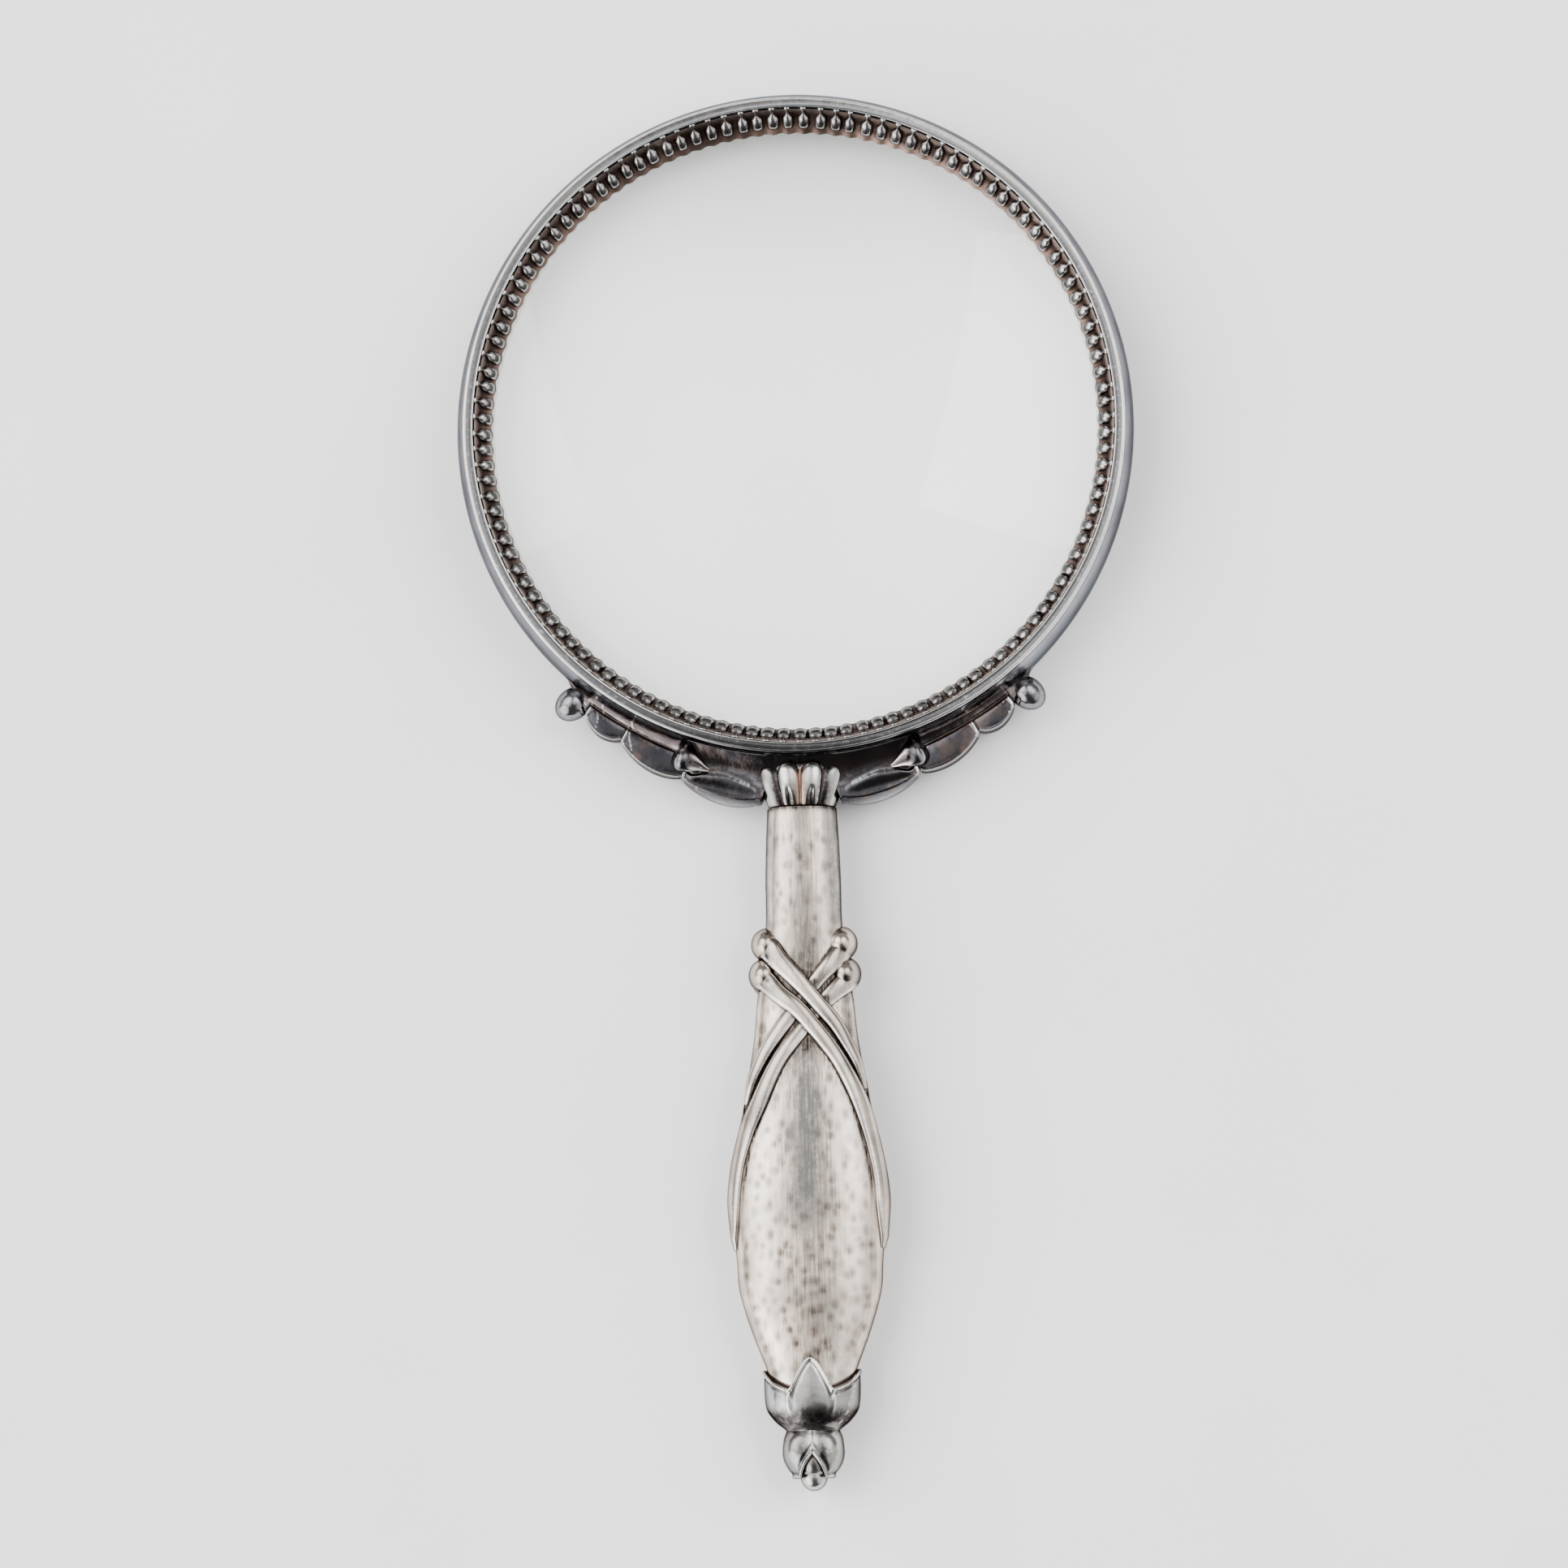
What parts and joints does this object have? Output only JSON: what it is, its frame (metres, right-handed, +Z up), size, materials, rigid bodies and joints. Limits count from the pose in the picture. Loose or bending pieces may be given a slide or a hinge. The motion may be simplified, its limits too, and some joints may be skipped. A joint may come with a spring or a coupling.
{
  "type": "hand magnifying glass",
  "caption": "Hand magnifying glass: round convex lens in a pearl-edged silver ring, leaf brackets, and a strap-bound hammered handle with a bud finial.",
  "frame": {"origin": "on the table under the middle of the whole length, with the glass lying flat", "axes": "+Y from the handle's tip to the ring, +Z up out of the lens's front face, +X to the right seen from the front with the ring away"},
  "size_m": [0.1, 0.206, 0.0115],
  "materials": {
    "ring_silver": "aged polished silver, grey-blue wall with worn bright rims",
    "pearl_silver": "silver pearls with brown tarnish between them",
    "dark_silver": "glossy dark oxidised silver with bronze-brown grooves and worn edges",
    "chased_silver": "polished chased silver with tarnish in its grooves",
    "strap_silver": "smooth pale silver, satin",
    "handle_silver": "finely hammered pale silver with soft tarnish spots",
    "lens_glass": "clear polished glass",
    "cork_packing": "cork strip, hidden",
    "pitch_filler": "dark pitch, hidden",
    "tang_brass": "plain brass, hidden"
  },
  "bodies": {
    "root": {"ring_band": "ring_silver", "front_bead_gallery": "pearl_silver", "rear_bead_gallery": "pearl_silver", "lens": "lens_glass", "lens_packing": "cork_packing", "fluted_collar": "chased_silver", "tang": "tang_brass", "handle_front_shell": "handle_silver", "handle_back_shell": "handle_silver", "handle_filler": "pitch_filler", "tulip_cup": "chased_silver", "finial_bud": "chased_silver", "tip_bead": "chased_silver", "left_leaf_bracket": "dark_silver", "left_berry": "dark_silver", "left_upper_knot": "strap_silver", "left_lower_knot": "strap_silver", "front_left_bud": "dark_silver", "back_left_bud": "dark_silver", "right_leaf_bracket": "dark_silver", "right_berry": "dark_silver", "right_upper_knot": "strap_silver", "right_lower_knot": "strap_silver", "front_right_bud": "dark_silver", "back_right_bud": "dark_silver", "front_upper_over_strap": "strap_silver", "front_lower_over_strap": "strap_silver", "front_upper_under_strap": "strap_silver", "front_lower_under_strap": "strap_silver", "back_upper_over_strap": "strap_silver", "back_lower_over_strap": "strap_silver", "back_upper_under_strap": "strap_silver", "back_lower_under_strap": "strap_silver"}
  },
  "joints": []
}
